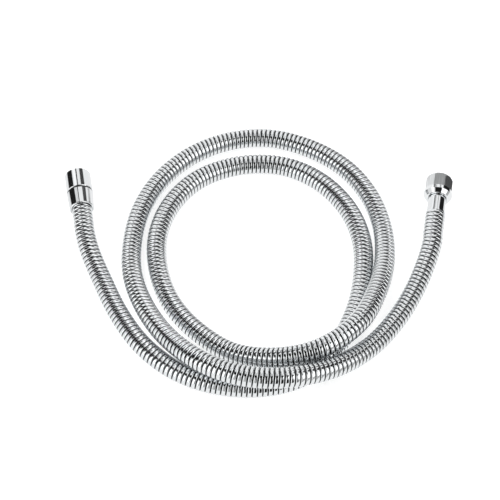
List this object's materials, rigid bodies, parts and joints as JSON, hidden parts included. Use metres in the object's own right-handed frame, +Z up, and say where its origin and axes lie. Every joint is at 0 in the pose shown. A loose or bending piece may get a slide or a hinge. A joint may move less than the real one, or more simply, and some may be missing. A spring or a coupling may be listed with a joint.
{
  "type": "metal sprayer hose",
  "caption": "Ribbed metal water hose lying in a loose coil, with a swivelling smooth cone nut on one end and an octagonal coupling nut with a plain ferrule on the other.",
  "frame": {"origin": "centre of the part's footprint, on the surface that hose and nuts rest on", "axes": "+Z up from the surface, +X from the cone end to the coupling nut end, +Y the way both mouths point"},
  "size_m": [0.3304, 0.2747, 0.0341],
  "materials": {
    "strip_chrome": "bright chromed double-locked strip, polished",
    "plated_chrome": "polished chrome plate on brass",
    "brass": "turned brass",
    "bush_steel": "plain stainless steel",
    "spring_steel": "spring steel wire",
    "water_hose": "smooth pale EPDM rubber hose",
    "seal_rubber": "black EPDM rubber",
    "glide_plastic": "white acetal"
  },
  "bodies": {
    "hose": {"metal_hose": "strip_chrome", "inner_hose": "water_hose", "cone_sleeve": "plated_chrome", "cone_barb": "brass", "cone_crimp_bush": "bush_steel", "cone_hose_collar": "bush_steel", "coupling_ferrule": "plated_chrome", "coupling_tailpiece": "brass", "coupling_crimp_bush": "bush_steel", "coupling_hose_collar": "plated_chrome", "coupling_glide_ring": "glide_plastic", "coupling_washer": "seal_rubber"},
    "swivel": {"cone_tailpiece": "brass", "swivel_o_ring_front": "seal_rubber", "swivel_o_ring_rear": "seal_rubber", "swivel_snap_ring": "spring_steel", "cone_glide_ring": "glide_plastic", "cone_dust_ring": "seal_rubber", "cone_washer": "seal_rubber"},
    "cone_nut": {"cone_nut": "plated_chrome"},
    "coupling_nut": {"coupling_nut": "plated_chrome"}
  },
  "joints": [
    {"name": "swivel_turn", "type": "hinge", "parent": "hose", "child": "swivel", "pos_m": [-0.14962, 0.05803, 0.0111], "axis": [-0.1644, 0.9864, 0], "continuous": true},
    {"name": "cone_nut_spin", "type": "hinge", "parent": "swivel", "child": "cone_nut", "pos_m": [-0.15067, 0.0643, 0.0111], "axis": [-0.1644, 0.9864, 0], "continuous": true},
    {"name": "coupling_nut_spin", "type": "hinge", "parent": "hose", "child": "coupling_nut", "pos_m": [0.152, 0.05849, 0.012], "axis": [0.1644, 0.9864, 0], "continuous": true}
  ]
}
